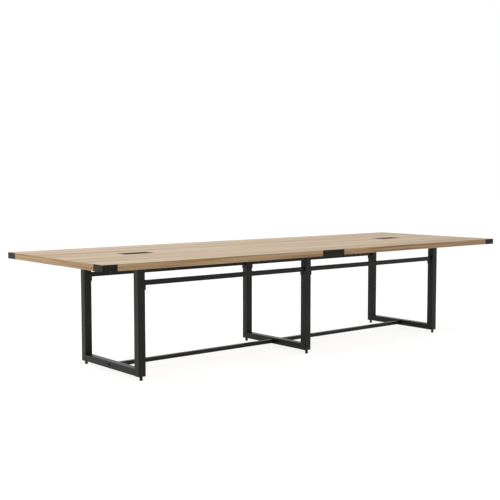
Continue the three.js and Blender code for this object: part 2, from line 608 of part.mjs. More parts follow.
// Each inlet faces the middle of the table
function powerUnit(place) {
  const group = new THREE.Group();
  group.position.set(POWER_UNIT_X[place], 0, TABLE_HEIGHT);
  const inletSide = -Math.sign(POWER_UNIT_X[place]);
  addPiece(group, `power_bezel_${place}`, bezel(), 'blackPlastic');
  addPiece(group, `power_lid_${place}`, lid(), 'blackAluminium');
  const pinLength = WELL_LENGTH + 2 * SKIRT_WALL;
  const pin = roundAlongX(PIN_DIAMETER, pinLength - 2 * SEAT_GAP, ROUND_SIDES);
  addPiece(group, `power_pin_${place}`, pin, 'zincSteel', 0, HINGE_Y, HINGE_Z);
  addPiece(group, `power_tub_${place}`, tub(inletSide), 'blackPaint');
  addPiece(group, `power_outlets_${place}`, outletPanel(), 'blackPlastic');
  addPiece(group, `power_data_insert_${place}`, dataInsert(), 'blackPlastic');
  const inletX = inletSide * (TUB_LENGTH / 2 + SEAT_GAP + INLET_FLANGE_THICKNESS);
  const bush = addPiece(group, `power_inlet_${place}`, inlet(), 'blackPlastic', inletX, 0, -INLET_DEPTH);
  bush.rotation.y = -inletSide * Math.PI / 2;
  return group;
}

const table = new THREE.Group();
table.add(top());
for (const place of Object.keys(FRAME_X)) {
  table.add(legFrame(place));
}
table.add(rails());
for (const place of Object.keys(POWER_UNIT_X)) {
  table.add(powerUnit(place));
}

export default table;
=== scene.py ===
import math

import bmesh
import bpy
from mathutils import Matrix, Vector


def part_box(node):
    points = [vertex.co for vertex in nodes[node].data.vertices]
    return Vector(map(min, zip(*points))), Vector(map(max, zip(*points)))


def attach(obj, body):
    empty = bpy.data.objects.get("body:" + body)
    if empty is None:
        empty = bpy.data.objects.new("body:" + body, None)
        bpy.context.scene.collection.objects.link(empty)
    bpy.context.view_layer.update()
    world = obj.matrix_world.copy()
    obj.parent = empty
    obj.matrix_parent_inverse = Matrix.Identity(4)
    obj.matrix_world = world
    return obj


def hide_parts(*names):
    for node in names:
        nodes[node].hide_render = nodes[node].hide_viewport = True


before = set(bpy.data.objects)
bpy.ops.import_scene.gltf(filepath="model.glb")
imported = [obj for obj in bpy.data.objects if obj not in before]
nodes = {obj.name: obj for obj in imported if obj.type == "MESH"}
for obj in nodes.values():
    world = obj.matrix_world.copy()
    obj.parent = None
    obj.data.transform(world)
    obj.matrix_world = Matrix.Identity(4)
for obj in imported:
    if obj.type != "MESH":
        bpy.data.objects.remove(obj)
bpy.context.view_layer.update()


# The picture: a long lens from the front left, a little above the table top.
# The place, turn and lens come from the table's own edges in the photograph.
MM = 0.001
SENSOR_MM = 36
FRAME_PIXELS = 500
FOCAL_PIXELS = 912.8
CAMERA_PLACE = Vector((-4377.5, -4988.0, 1219.5)) * MM
CAMERA_YAW = math.radians(39.66)
CAMERA_PITCH = math.radians(4.375)
camera = bpy.data.objects.new("camera", bpy.data.cameras.new("camera"))
camera.data.sensor_width = SENSOR_MM
camera.data.lens = SENSOR_MM * FOCAL_PIXELS / FRAME_PIXELS
camera.location = CAMERA_PLACE
camera.rotation_euler = (math.pi / 2 - CAMERA_PITCH, 0, -CAMERA_YAW)
bpy.context.collection.objects.link(camera)
bpy.context.scene.camera = camera
bpy.context.scene.view_settings.view_transform = "Standard"


# The room: an even pale world, with soft boxes overhead, to the left and in front of the table.
# What the camera and gloss see of it is white, and its light on the table is plain.
def linear(hex_colour):
    """A linear RGBA colour from an sRGB hex value such as 'cab6a1'."""
    channels = [int(hex_colour[start:start + 2], 16) / 255 for start in (0, 2, 4)]
    bent = [c / 12.92 if c <= 0.04045 else ((c + 0.055) / 1.055) ** 2.4 for c in channels]
    return (*bent, 1)


def add_node(tree, kind, inputs=(), **settings):
    """Adds one node: settings are its attributes, and an input is a value or another node's output."""
    made = tree.nodes.new(kind)
    for name, value in settings.items():
        setattr(made, name, value)
    for socket, value in dict(inputs).items():
        if isinstance(value, bpy.types.NodeSocket):
            tree.links.new(value, made.inputs[socket])
        else:
            made.inputs[socket].default_value = value
    return made


WORLD_LIGHT = 0.42
world = bpy.data.worlds.new("studio")
world.use_nodes = True
bpy.context.scene.world = world
tree = world.node_tree
tree.nodes.clear()
path = add_node(tree, "ShaderNodeLightPath")
seen = add_node(tree, "ShaderNodeMath", {
    0: path.outputs["Is Camera Ray"], 1: path.outputs["Is Glossy Ray"]}, operation="MAXIMUM")
seen = add_node(tree, "ShaderNodeMath", {
    0: seen.outputs[0], 1: path.outputs["Is Transmission Ray"]}, operation="MAXIMUM")
strength = add_node(tree, "ShaderNodeMapRange", {
    "Value": seen.outputs[0], "To Min": WORLD_LIGHT, "To Max": 1.0})
sky = add_node(tree, "ShaderNodeBackground", {"Color": (1, 1, 1, 1), "Strength": strength.outputs[0]})
add_node(tree, "ShaderNodeOutputWorld", {"Surface": sky.outputs[0]})

SOFT_BOXES = {
    "overhead": {"place": (-0.6, 0.6, 4.2), "aim_z": 0.75, "size": 5, "watts": 100, "in_gloss": False},
    "left": {"place": (-6.2, 2.6, 2.2), "aim_z": 0.5, "size": 3, "watts": 78, "in_gloss": True},
    "front": {"place": (-1.0, -7.5, 1.8), "aim_z": 0.6, "size": 3, "watts": 45, "in_gloss": False},
}
for name, box in SOFT_BOXES.items():
    lamp = bpy.data.lights.new(name, "AREA")
    lamp.size = box["size"]
    lamp.energy = box["watts"]
    light = bpy.data.objects.new(name, lamp)
    light.location = box["place"]
    aim = Vector((0, 0, box["aim_z"])) - light.location
    light.rotation_euler = aim.to_track_quat("-Z", "Y").to_euler()
    light.visible_camera = False
    light.visible_glossy = box["in_gloss"]
    bpy.context.collection.objects.link(light)


# The floor: a plain white sheet that runs out of sight behind the table.
# The camera sees it as white with a faint shadow, and other light sees a pale matt floor.
FLOOR_HALF = 60
FLOOR_GLOW = 0.86
floor_mesh = bpy.data.meshes.new("floor")
shape = bmesh.new()
bmesh.ops.create_grid(shape, x_segments=1, y_segments=1, size=FLOOR_HALF)
shape.to_mesh(floor_mesh)
shape.free()
floor = bpy.data.objects.new("floor", floor_mesh)
bpy.context.collection.objects.link(floor)
paper = bpy.data.materials.new("white_paper")
paper.use_nodes = True
tree = paper.node_tree
tree.nodes.clear()
path = add_node(tree, "ShaderNodeLightPath")
seen = add_node(tree, "ShaderNodeMath", {
    0: path.outputs["Is Camera Ray"], 1: path.outputs["Is Glossy Ray"]}, operation="MAXIMUM")
matt = add_node(tree, "ShaderNodeBsdfDiffuse", {"Color": linear("dedede")})
thin = add_node(tree, "ShaderNodeBsdfDiffuse", {"Color": linear("a8a8a8")})
glow = add_node(tree, "ShaderNodeEmission", {"Color": (1, 1, 1, 1), "Strength": FLOOR_GLOW})
lit = add_node(tree, "ShaderNodeAddShader", {0: thin.outputs[0], 1: glow.outputs[0]})
either = add_node(tree, "ShaderNodeMixShader", {0: seen.outputs[0], 1: matt.outputs[0], 2: lit.outputs[0]})
add_node(tree, "ShaderNodeOutputMaterial", {"Surface": either.outputs[0]})
floor_mesh.materials.append(paper)


# Top: two halves of chipboard faced with sand-coloured wood-grain laminate, and a plastic band
# of the same decor ironed on to the edges. The printed grain runs along the table.
GRAIN_WIDTH_MM = 95
GRAIN_LENGTH_MM = 2600
STREAK_WIDTH_MM = 9
STREAK_LENGTH_MM = 620
PORE_WIDTH_MM = 1.6
PORE_LENGTH_MM = 26
STREAK_SHARE = 0.34
WELD_DISTANCE = 0.00001
CRISP_ANGLE = math.radians(50)


def new_tree(name):
    """A named material's empty node tree, and the material."""
    material = bpy.data.materials.new(name)
    material.use_nodes = True
    material.node_tree.nodes.clear()
    return material, material.node_tree


def dress(node_names, material):
    """Gives pieces their finish, and shades their bends and rounds smooth up to a crisp edge."""
    for node_name in node_names:
        piece = nodes[node_name]
        piece.data.materials.clear()
        piece.data.materials.append(material)
        piece.data.polygons.foreach_set("use_smooth", [True] * len(piece.data.polygons))
        weld = piece.modifiers.new("weld", "WELD")
        weld.merge_threshold = WELD_DISTANCE
        crisp = piece.modifiers.new("crisp_edges", "EDGE_SPLIT")
        crisp.split_angle = CRISP_ANGLE
        level = piece.modifiers.new("level_faces", "WEIGHTED_NORMAL")
        level.keep_sharp = True


def fill_ramp(ramp, tones):
    """Sets a colour ramp to (position, hex colour) pairs."""
    ramp.elements.remove(ramp.elements[1])
    ramp.elements[0].position = tones[0][0]
    ramp.elements[0].color = linear(tones[0][1])
    for position, hex_colour in tones[1:]:
        ramp.elements.new(position).color = linear(hex_colour)


# Wood-grain laminate: a printed sheet under clear melamine, so the colour varies in soft streaks
# and the face is satin, with a light printed pore. The band on the edge is plainer, and browner:
# partly its own tone and partly a painted warm shade of the upright edges.
laminate, tree = new_tree("sand_woodgrain_laminate")
coords = add_node(tree, "ShaderNodeTexCoord")
facing = add_node(tree, "ShaderNodeNewGeometry")
facing_axes = add_node(tree, "ShaderNodeSeparateXYZ", {0: facing.outputs["Normal"]})
upright = add_node(tree, "ShaderNodeMath", {0: facing_axes.outputs["Z"]}, operation="ABSOLUTE")
is_edge = add_node(tree, "ShaderNodeMapRange", {
    "Value": upright.outputs[0], "From Min": 0.3, "From Max": 0.6, "To Min": 1.0, "To Max": 0.0})
grain_place = add_node(tree, "ShaderNodeMapping", {
    "Vector": coords.outputs["Object"],
    "Scale": (1 / (GRAIN_LENGTH_MM * MM), 1 / (GRAIN_WIDTH_MM * MM), 1 / (GRAIN_WIDTH_MM * MM))})
grain = add_node(tree, "ShaderNodeTexNoise", {
    "Vector": grain_place.outputs[0], "Scale": 1.0, "Detail": 3.0, "Roughness": 0.55, "Distortion": 0.35})
streak_place = add_node(tree, "ShaderNodeMapping", {
    "Vector": coords.outputs["Object"],
    "Scale": (1 / (STREAK_LENGTH_MM * MM), 1 / (STREAK_WIDTH_MM * MM), 1 / (STREAK_WIDTH_MM * MM))})
streak = add_node(tree, "ShaderNodeTexNoise", {
    "Vector": streak_place.outputs[0], "Scale": 1.0, "Detail": 4.0, "Roughness": 0.6})
pore_place = add_node(tree, "ShaderNodeMapping", {
    "Vector": coords.outputs["Object"],
    "Scale": (1 / (PORE_LENGTH_MM * MM), 1 / (PORE_WIDTH_MM * MM), 1 / (PORE_WIDTH_MM * MM))})
pore = add_node(tree, "ShaderNodeTexNoise", {"Vector": pore_place.outputs[0], "Scale": 1.0, "Detail": 1.0})
pore_share = add_node(tree, "ShaderNodeMapRange", {
    "Value": pore.outputs["Fac"], "From Min": 0.58, "From Max": 0.72, "To Max": 0.4})
tone = add_node(tree, "ShaderNodeMix", {
    0: STREAK_SHARE, 2: grain.outputs["Fac"], 3: streak.outputs["Fac"]}, data_type="FLOAT")
face_colour = add_node(tree, "ShaderNodeValToRGB", {0: tone.outputs[0]})
FACE_TONES = ((0.36, "a38a6f"), (0.44, "b9a185"), (0.5, "c3ad91"), (0.56, "ccb79a"), (0.64, "d8c5a9"))
fill_ramp(face_colour.color_ramp, FACE_TONES)
face_pores = add_node(tree, "ShaderNodeMix", {
    0: pore_share.outputs[0], 6: face_colour.outputs[0], 7: linear("9c8570")}, data_type="RGBA")
end_place = add_node(tree, "ShaderNodeMapping", {
    "Vector": coords.outputs["Object"],
    "Scale": (1 / (STREAK_WIDTH_MM * MM), 1 / (STREAK_LENGTH_MM * MM), 1 / (STREAK_WIDTH_MM * MM))})
end_streak = add_node(tree, "ShaderNodeTexNoise", {
    "Vector": end_place.outputs[0], "Scale": 1.0, "Detail": 4.0, "Roughness": 0.6})
is_end = add_node(tree, "ShaderNodeMath", {0: facing_axes.outputs["X"]}, operation="ABSOLUTE")
band_streak = add_node(tree, "ShaderNodeMix", {
    0: is_end.outputs[0], 2: streak.outputs["Fac"], 3: end_streak.outputs["Fac"]}, data_type="FLOAT")
# Painted shade: the band's tones are browner than the face's, partly the band's own tone and partly a
# painted warm shade of the upright edges.
band_and_shade_colour = add_node(tree, "ShaderNodeValToRGB", {0: band_streak.outputs[0]})
BAND_AND_SHADE_TONES = ((0.32, "96724e"), (0.44, "b8936b"), (0.54, "c8a57c"), (0.66, "d2b590"))
fill_ramp(band_and_shade_colour.color_ramp, BAND_AND_SHADE_TONES)
decor_and_painted_shade = add_node(tree, "ShaderNodeMix", {
    0: is_edge.outputs[0], 6: face_pores.outputs[2], 7: band_and_shade_colour.outputs[0]}, data_type="RGBA")
satin = add_node(tree, "ShaderNodeMapRange", {
    "Value": streak.outputs["Fac"], "To Min": 0.5, "To Max": 0.66})
relief = add_node(tree, "ShaderNodeBump", {
    "Height": pore_share.outputs[0], "Strength": 0.08, "Distance": 0.2 * MM}, invert=True)
board = add_node(tree, "ShaderNodeBsdfPrincipled", {
    "Base Color": decor_and_painted_shade.outputs[2], "Roughness": satin.outputs[0], "IOR": 1.48, "Normal": relief.outputs[0],
    "Specular IOR Level": 0.35})
add_node(tree, "ShaderNodeOutputMaterial", {"Surface": board.outputs[0]})
dress(["top_left", "top_right"], laminate)


# Seam dowels: fluted beech pegs that line up the two halves, hidden inside the boards.
# Turned beech is pale, with fine darker flecks along the grain.
FLECK_LENGTH_MM = 6
FLECK_WIDTH_MM = 0.8
beech, tree = new_tree("turned_beech")
coords = add_node(tree, "ShaderNodeTexCoord")
fleck_place = add_node(tree, "ShaderNodeMapping", {
    "Vector": coords.outputs["Object"],
    "Scale": (1 / (FLECK_LENGTH_MM * MM), 1 / (FLECK_WIDTH_MM * MM), 1 / (FLECK_WIDTH_MM * MM))})
fleck = add_node(tree, "ShaderNodeTexNoise", {
    "Vector": fleck_place.outputs[0], "Scale": 1.0, "Detail": 2.0})
peg_colour = add_node(tree, "ShaderNodeValToRGB", {0: fleck.outputs["Fac"]})
fill_ramp(peg_colour.color_ramp, ((0.0, "b08a5c"), (1.0, "d6b88a")))
peg_roughness = add_node(tree, "ShaderNodeMapRange", {
    "Value": fleck.outputs["Fac"], "To Min": 0.82, "To Max": 0.68})
peg = add_node(tree, "ShaderNodeBsdfPrincipled", {
    "Base Color": peg_colour.outputs[0], "Roughness": peg_roughness.outputs[0]})
add_node(tree, "ShaderNodeOutputMaterial", {"Surface": peg.outputs[0]})
dress(["seam_dowel_front", "seam_dowel_middle", "seam_dowel_rear"], beech)


# Leg frames, rails, stretchers and tubs: mild steel tube and sheet, welded, then coated with black
# powder that is baked on. It is satin, so its upper faces turn pale where they are seen at a low angle.
COAT_GRIT_MM = 1.1
COAT_CLOUD_MM = 180
GRIT_SHARE = 0.35


def powder_coat(name, dark, light, gloss):
    """Black powder coat between two tones, with a slight orange peel.

    The real grit is about half a millimetre, drawn at twice that so that it shows.
    """
    material, tree = new_tree(name)
    coords = add_node(tree, "ShaderNodeTexCoord")
    grit = add_node(tree, "ShaderNodeTexNoise", {
        "Vector": coords.outputs["Object"], "Scale": 1 / (COAT_GRIT_MM * MM), "Detail": 2.0})
    cloud = add_node(tree, "ShaderNodeTexNoise", {
        "Vector": coords.outputs["Object"], "Scale": 1 / (COAT_CLOUD_MM * MM), "Detail": 2.0})
    shade = add_node(tree, "ShaderNodeMix", {
        0: GRIT_SHARE, 2: cloud.outputs["Fac"], 3: grit.outputs["Fac"]}, data_type="FLOAT")
    colour = add_node(tree, "ShaderNodeValToRGB", {0: shade.outputs[0]})
    fill_ramp(colour.color_ramp, ((0.3, dark), (0.7, light)))
    peel = add_node(tree, "ShaderNodeBump", {
        "Height": grit.outputs["Fac"], "Strength": 0.12, "Distance": 0.3 * MM})
    dullness = add_node(tree, "ShaderNodeMapRange", {
        "Value": grit.outputs["Fac"], "To Min": 0.29, "To Max": 0.43})
    steel = add_node(tree, "ShaderNodeBsdfPrincipled", {
        "Base Color": colour.outputs[0], "Roughness": dullness.outputs[0], "Normal": peel.outputs[0],
        "IOR": 1.5, "Specular IOR Level": gloss})
    add_node(tree, "ShaderNodeOutputMaterial", {"Surface": steel.outputs[0]})
    return material


COATED = ("leg_", "bottom_bar_", "top_bar_", "rail_", "stretcher_", "power_tub_")
coat = powder_coat("black_powder_coat", dark="161614", light="20201e", gloss=0.2)
dress([name for name in nodes if name.startswith(COATED)], coat)


# Edge plates: sheet steel, laser cut and folded over the corners and the seam of the top, and
# powder coated on their own in a flatter, slightly warmer black.
plate_coat = powder_coat("flat_black_powder_coat", dark="17150c", light="211e13", gloss=0.14)
dress([name for name in nodes if name.startswith(("seam_plate_", "corner_plate_"))], plate_coat)


# Levelling feet, bezels, outlet panels and inlets: black nylon, moulded, the feet round a steel stud.
# Moulded nylon is deep black, lightly grained by the tool, with a low broad gloss.
MOULD_GRAIN_MM = 0.9
nylon, tree = new_tree("moulded_black_nylon")
coords = add_node(tree, "ShaderNodeTexCoord")
spark = add_node(tree, "ShaderNodeTexVoronoi", {
    "Vector": coords.outputs["Object"], "Scale": 1 / (MOULD_GRAIN_MM * MM)})
nylon_colour = add_node(tree, "ShaderNodeValToRGB", {0: spark.outputs["Distance"]})
fill_ramp(nylon_colour.color_ramp, ((0.0, "1a1a1a"), (1.0, "252524")))
pits = add_node(tree, "ShaderNodeBump", {
    "Height": spark.outputs["Distance"], "Strength": 0.1, "Distance": 0.2 * MM})
haze = add_node(tree, "ShaderNodeMapRange", {
    "Value": spark.outputs["Distance"], "To Min": 0.56, "To Max": 0.68})
moulding = add_node(tree, "ShaderNodeBsdfPrincipled", {
    "Base Color": nylon_colour.outputs[0], "Roughness": haze.outputs[0], "Normal": pits.outputs[0],
    "IOR": 1.53, "Specular IOR Level": 0.2})
add_node(tree, "ShaderNodeOutputMaterial", {"Surface": moulding.outputs[0]})
MOULDED = ("foot_", "power_bezel_", "power_outlets_", "power_data_insert_", "power_inlet_")
dress([name for name in nodes if name.startswith(MOULDED)], nylon)


# Power unit lids: extruded aluminium, sawn to length, brushed along and anodised a warm black.
# The brushing leaves fine long lines that break the gloss up along the lid.
BRUSH_WIDTH_MM = 0.7
BRUSH_LENGTH_MM = 60
anodised, tree = new_tree("black_anodised_aluminium")
coords = add_node(tree, "ShaderNodeTexCoord")
brush_place = add_node(tree, "ShaderNodeMapping", {
    "Vector": coords.outputs["Object"],
    "Scale": (1 / (BRUSH_LENGTH_MM * MM), 1 / (BRUSH_WIDTH_MM * MM), 1 / (BRUSH_WIDTH_MM * MM))})
brush = add_node(tree, "ShaderNodeTexNoise", {
    "Vector": brush_place.outputs[0], "Scale": 1.0, "Detail": 2.0})
lid_colour = add_node(tree, "ShaderNodeValToRGB", {0: brush.outputs["Fac"]})
fill_ramp(lid_colour.color_ramp, ((0.25, "231b12"), (0.75, "382d20")))
lines = add_node(tree, "ShaderNodeBump", {
    "Height": brush.outputs["Fac"], "Strength": 0.1, "Distance": 0.1 * MM})
lid_roughness = add_node(tree, "ShaderNodeMapRange", {
    "Value": brush.outputs["Fac"], "To Min": 0.56, "To Max": 0.72})
lid_shader = add_node(tree, "ShaderNodeBsdfPrincipled", {
    "Base Color": lid_colour.outputs[0], "Roughness": lid_roughness.outputs[0], "Normal": lines.outputs[0],
    "Specular IOR Level": 0.06})
add_node(tree, "ShaderNodeOutputMaterial", {"Surface": lid_shader.outputs[0]})
dress(["power_lid_left", "power_lid_right"], anodised)


# Hinge pins: drawn steel wire, bright zinc plated, through the ends of the bezel and the lid's barrel.
# Zinc is pale and a little cloudy.
ZINC_CLOUD_MM = 2.5
zinc, tree = new_tree("bright_zinc_plate")
coords = add_node(tree, "ShaderNodeTexCoord")
bloom = add_node(tree, "ShaderNodeTexNoise", {
    "Vector": coords.outputs["Object"], "Scale": 1 / (ZINC_CLOUD_MM * MM)})
zinc_colour = add_node(tree, "ShaderNodeValToRGB", {0: bloom.outputs["Fac"]})
fill_ramp(zinc_colour.color_ramp, ((0.0, "a3a6a9"), (1.0, "c6c8ca")))
cloudiness = add_node(tree, "ShaderNodeMapRange", {
    "Value": bloom.outputs["Fac"], "To Min": 0.24, "To Max": 0.42})
plated = add_node(tree, "ShaderNodeBsdfPrincipled", {
    "Base Color": zinc_colour.outputs[0], "Roughness": cloudiness.outputs[0], "Metallic": 1.0})
add_node(tree, "ShaderNodeOutputMaterial", {"Surface": plated.outputs[0]})
dress(["power_pin_left", "power_pin_right"], zinc)


# Screws under the top: pan-head wood screws, bright zinc, that hold the plates' flanges, the leg
# frames and the tubs. Each head is a low dome with a hexagon socket.
HEAD_SIDES = 24
HEAD_STEPS = 4
HEAD_ROUND = 0.55
HEAD_LAND = 0.12
HEAD_SOCKET = 0.6
WOOD_SCREW = {"width": 8.5 * MM, "height": 2.4 * MM, "drive": 3.4 * MM}
CORNER_SCREWS_MM = ((62, 18), (18, 62))
SEAM_SCREWS_MM = (-80, -30, 30, 80)
SEAM_SCREW_IN_MM = 30
FRAME_SCREW_X_MM = 58
FRAME_SCREWS_Y_MM = (-198, -162, 162, 198)
FRAME_PLATE = 3 * MM
FRAME_PLATE_WELD = 0.5 * MM


def merged(shapes):
    """One bmesh of several."""
    whole = bmesh.new()
    for shape in shapes:
        mesh = bpy.data.meshes.new("part")
        shape.to_mesh(mesh)
        shape.free()
        whole.from_mesh(mesh)
        bpy.data.meshes.remove(mesh)
    return whole


def screw_heads(spots, direction, width, height, drive):
    """Button heads at each spot, facing along direction, with a hexagon socket in each."""
    turn = Vector(direction).to_track_quat("Z", "Y").to_matrix().to_4x4()
    heads = []
    for spot in spots:
        head = bmesh.new()
        bmesh.ops.create_cone(
            head, cap_ends=True, segments=HEAD_SIDES, radius1=width / 2, radius2=width / 2, depth=height,
            matrix=Matrix.Translation((0, 0, height / 2)))
        crown = max(head.faces, key=lambda face: face.calc_center_median().z)
        bmesh.ops.bevel(
            head, geom=list(crown.edges), offset=HEAD_ROUND * height, segments=HEAD_STEPS, profile=0.5,
            affect="EDGES", material=-1)
        crown = max(head.faces, key=lambda face: face.calc_center_median().z)
        bmesh.ops.inset_individual(head, faces=[crown], thickness=HEAD_LAND * width)
        # The middle of the crown is drawn in to a hexagon, and sunk to make the socket.
        for vert in crown.verts:
            sixth = math.atan2(vert.co.y, vert.co.x) % (math.pi / 3)
            vert.co.xy = vert.co.xy.normalized() * (drive / 2 / math.cos(sixth - math.pi / 6))
        floor_face = bmesh.ops.extrude_discrete_faces(head, faces=[crown])["faces"][0]
        bmesh.ops.translate(head, verts=list(floor_face.verts), vec=(0, 0, -HEAD_SOCKET * height))
        bmesh.ops.transform(head, matrix=Matrix.Translation(spot) @ turn, verts=list(head.verts))
        heads.append(head)
    return merged(heads)


def add_piece(name, shape, material, body):
    """Makes a piece of a bmesh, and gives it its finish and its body."""
    mesh = bpy.data.meshes.new(name)
    shape.to_mesh(mesh)
    shape.free()
    mesh.materials.append(material)
    piece = bpy.data.objects.new(name, mesh)
    bpy.context.collection.objects.link(piece)
    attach(piece, body)
    return piece


DOWN = (0, 0, -1)
for node_name in [name for name in nodes if name.startswith("corner_plate_")]:
    low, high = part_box(node_name)
    inward = Vector((-math.copysign(1, low.x), -math.copysign(1, low.y), 0))
    corner = Vector((low.x if inward.x > 0 else high.x, low.y if inward.y > 0 else high.y, low.z))
    spots = [corner + Vector((inward.x * x, inward.y * y, 0)) * MM for x, y in CORNER_SCREWS_MM]
    add_piece(f"{node_name}_screws", screw_heads(spots, DOWN, **WOOD_SCREW), zinc, "table")
for node_name in ("seam_plate_front", "seam_plate_rear"):
    low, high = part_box(node_name)
    y = low.y + SEAM_SCREW_IN_MM * MM if low.y < 0 else high.y - SEAM_SCREW_IN_MM * MM
    spots = [Vector((x * MM, y, low.z)) for x in SEAM_SCREWS_MM]
    add_piece(f"{node_name}_screws", screw_heads(spots, DOWN, **WOOD_SCREW), zinc, "table")
for node_name in ("top_bar_left", "top_bar_middle", "top_bar_right"):
    low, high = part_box(node_name)
    middle_x = (low.x + high.x) / 2
    plate_underside = high.z - FRAME_PLATE - FRAME_PLATE_WELD
    spots = [Vector((middle_x + side * FRAME_SCREW_X_MM * MM, y * MM, plate_underside))
             for side in (-1, 1) for y in FRAME_SCREWS_Y_MM]
    add_piece(f"{node_name}_screws", screw_heads(spots, DOWN, **WOOD_SCREW), zinc, "table")


# Welds: each bar is fillet-welded to its legs all round, so a small smooth bead runs round the
# end of the tube under the paint.
BEAD = 2.4 * MM
BEAD_PROUD = 0.9 * MM
BEAD_LENGTH = 4.2 * MM
BEAD_SUNK = 2.2 * MM
BEAD_CORNER = 4.5 * MM
CORNER_STEPS = 5
RIM_EASE = 0.4
RIM_STEPS = 2


def rounded_ring(width, height, corner, rim, depth):
    """A ring on the XY plane round a rounded rectangle of that size, with soft edges."""
    ring = bmesh.new()
    x = width / 2 + rim
    y = height / 2 + rim
    corners = ((-x, -y, 0), (x, -y, 0), (x, y, 0), (-x, y, 0))
    ring.faces.new([ring.verts.new(place) for place in corners])
    bmesh.ops.bevel(
        ring, geom=list(ring.verts), offset=corner, segments=CORNER_STEPS, profile=0.5, affect="VERTICES",
        material=-1)
    middle = ring.faces[:][0]
    bmesh.ops.inset_region(ring, faces=[middle], thickness=rim, use_boundary=True, use_even_offset=True)
    bmesh.ops.delete(ring, geom=[middle], context="FACES_ONLY")
    grown = bmesh.ops.extrude_face_region(ring, geom=list(ring.faces), use_keep_orig=True)["geom"]
    raised = [part for part in grown if isinstance(part, bmesh.types.BMVert)]
    bmesh.ops.translate(ring, verts=raised, vec=(0, 0, depth))
    bmesh.ops.recalc_face_normals(ring, faces=list(ring.faces))
    sharp = [edge for edge in ring.edges if edge.calc_face_angle(0) > CRISP_ANGLE]
    bmesh.ops.bevel(
        ring, geom=sharp, offset=RIM_EASE * min(rim, depth), segments=RIM_STEPS, profile=0.5,
        affect="EDGES", material=-1)
    return ring


for bar in [name for name in nodes if name.startswith(("bottom_bar_", "top_bar_"))]:
    low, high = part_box(bar)
    place = bar.rsplit("_", 1)[1]
    leg_low, leg_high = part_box(f"leg_{place}_front")
    tube_top = high.z if bar.startswith("bottom") else high.z - FRAME_PLATE
    middle = Vector(((leg_low.x + leg_high.x) / 2, 0, (low.z + tube_top) / 2))
    beads = []
    for end, face_y in ((-1, low.y), (1, high.y)):
        width = leg_high.x - leg_low.x + 2 * (BEAD_PROUD - BEAD)
        height = tube_top - low.z + 2 * (BEAD_PROUD - BEAD)
        bead = rounded_ring(width, height, BEAD_CORNER, BEAD, BEAD_LENGTH)
        place_at = Matrix.Translation((middle.x, face_y + end * BEAD_SUNK, middle.z))
        turn = Matrix.Rotation(end * math.pi / 2, 4, "X")
        bmesh.ops.transform(bead, matrix=place_at @ turn, verts=list(bead.verts))
        beads.append(bead)
    add_piece(f"{bar}_welds", merged(beads), coat, "table")


# Foot threads: the top of each foot's steel stud is cut with a screw thread that turns in the leg's
# sole plate. The ridge winds up the plain stud of the foot.
THREAD_PITCH = 1.5 * MM
THREAD_ROOT = 4.85 * MM
THREAD_CREST = 5.3 * MM
THREAD_START = 26 * MM
THREAD_TURNS = 20
THREAD_STEPS = 24
ROOT_SHARE = 0.46
CREST_SHARE = 0.08
for node_name in [name for name in nodes if name.startswith("foot_")]:
    low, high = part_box(node_name)
    stud = Vector(((low.x + high.x) / 2, (low.y + high.y) / 2, low.z + THREAD_START))
    ridge = bmesh.new()
    outline = (
        (THREAD_ROOT, ROOT_SHARE), (THREAD_CREST, CREST_SHARE), (THREAD_CREST, -CREST_SHARE),
        (THREAD_ROOT, -ROOT_SHARE))
    profile = [ridge.verts.new((radius, 0, share * THREAD_PITCH)) for radius, share in outline]
    face = ridge.faces.new(profile)
    bmesh.ops.spin(
        ridge, geom=[*ridge.verts, *ridge.edges, face], cent=(0, 0, 0), axis=(0, 0, 1),
        dvec=(0, 0, THREAD_PITCH / THREAD_STEPS), angle=2 * math.pi * THREAD_TURNS,
        steps=THREAD_TURNS * THREAD_STEPS)
    bmesh.ops.holes_fill(ridge, edges=list(ridge.edges))
    bmesh.ops.recalc_face_normals(ridge, faces=list(ridge.faces))
    bmesh.ops.translate(ridge, verts=list(ridge.verts), vec=stud)
    add_piece(f"{node_name}_thread", ridge, zinc, node_name)


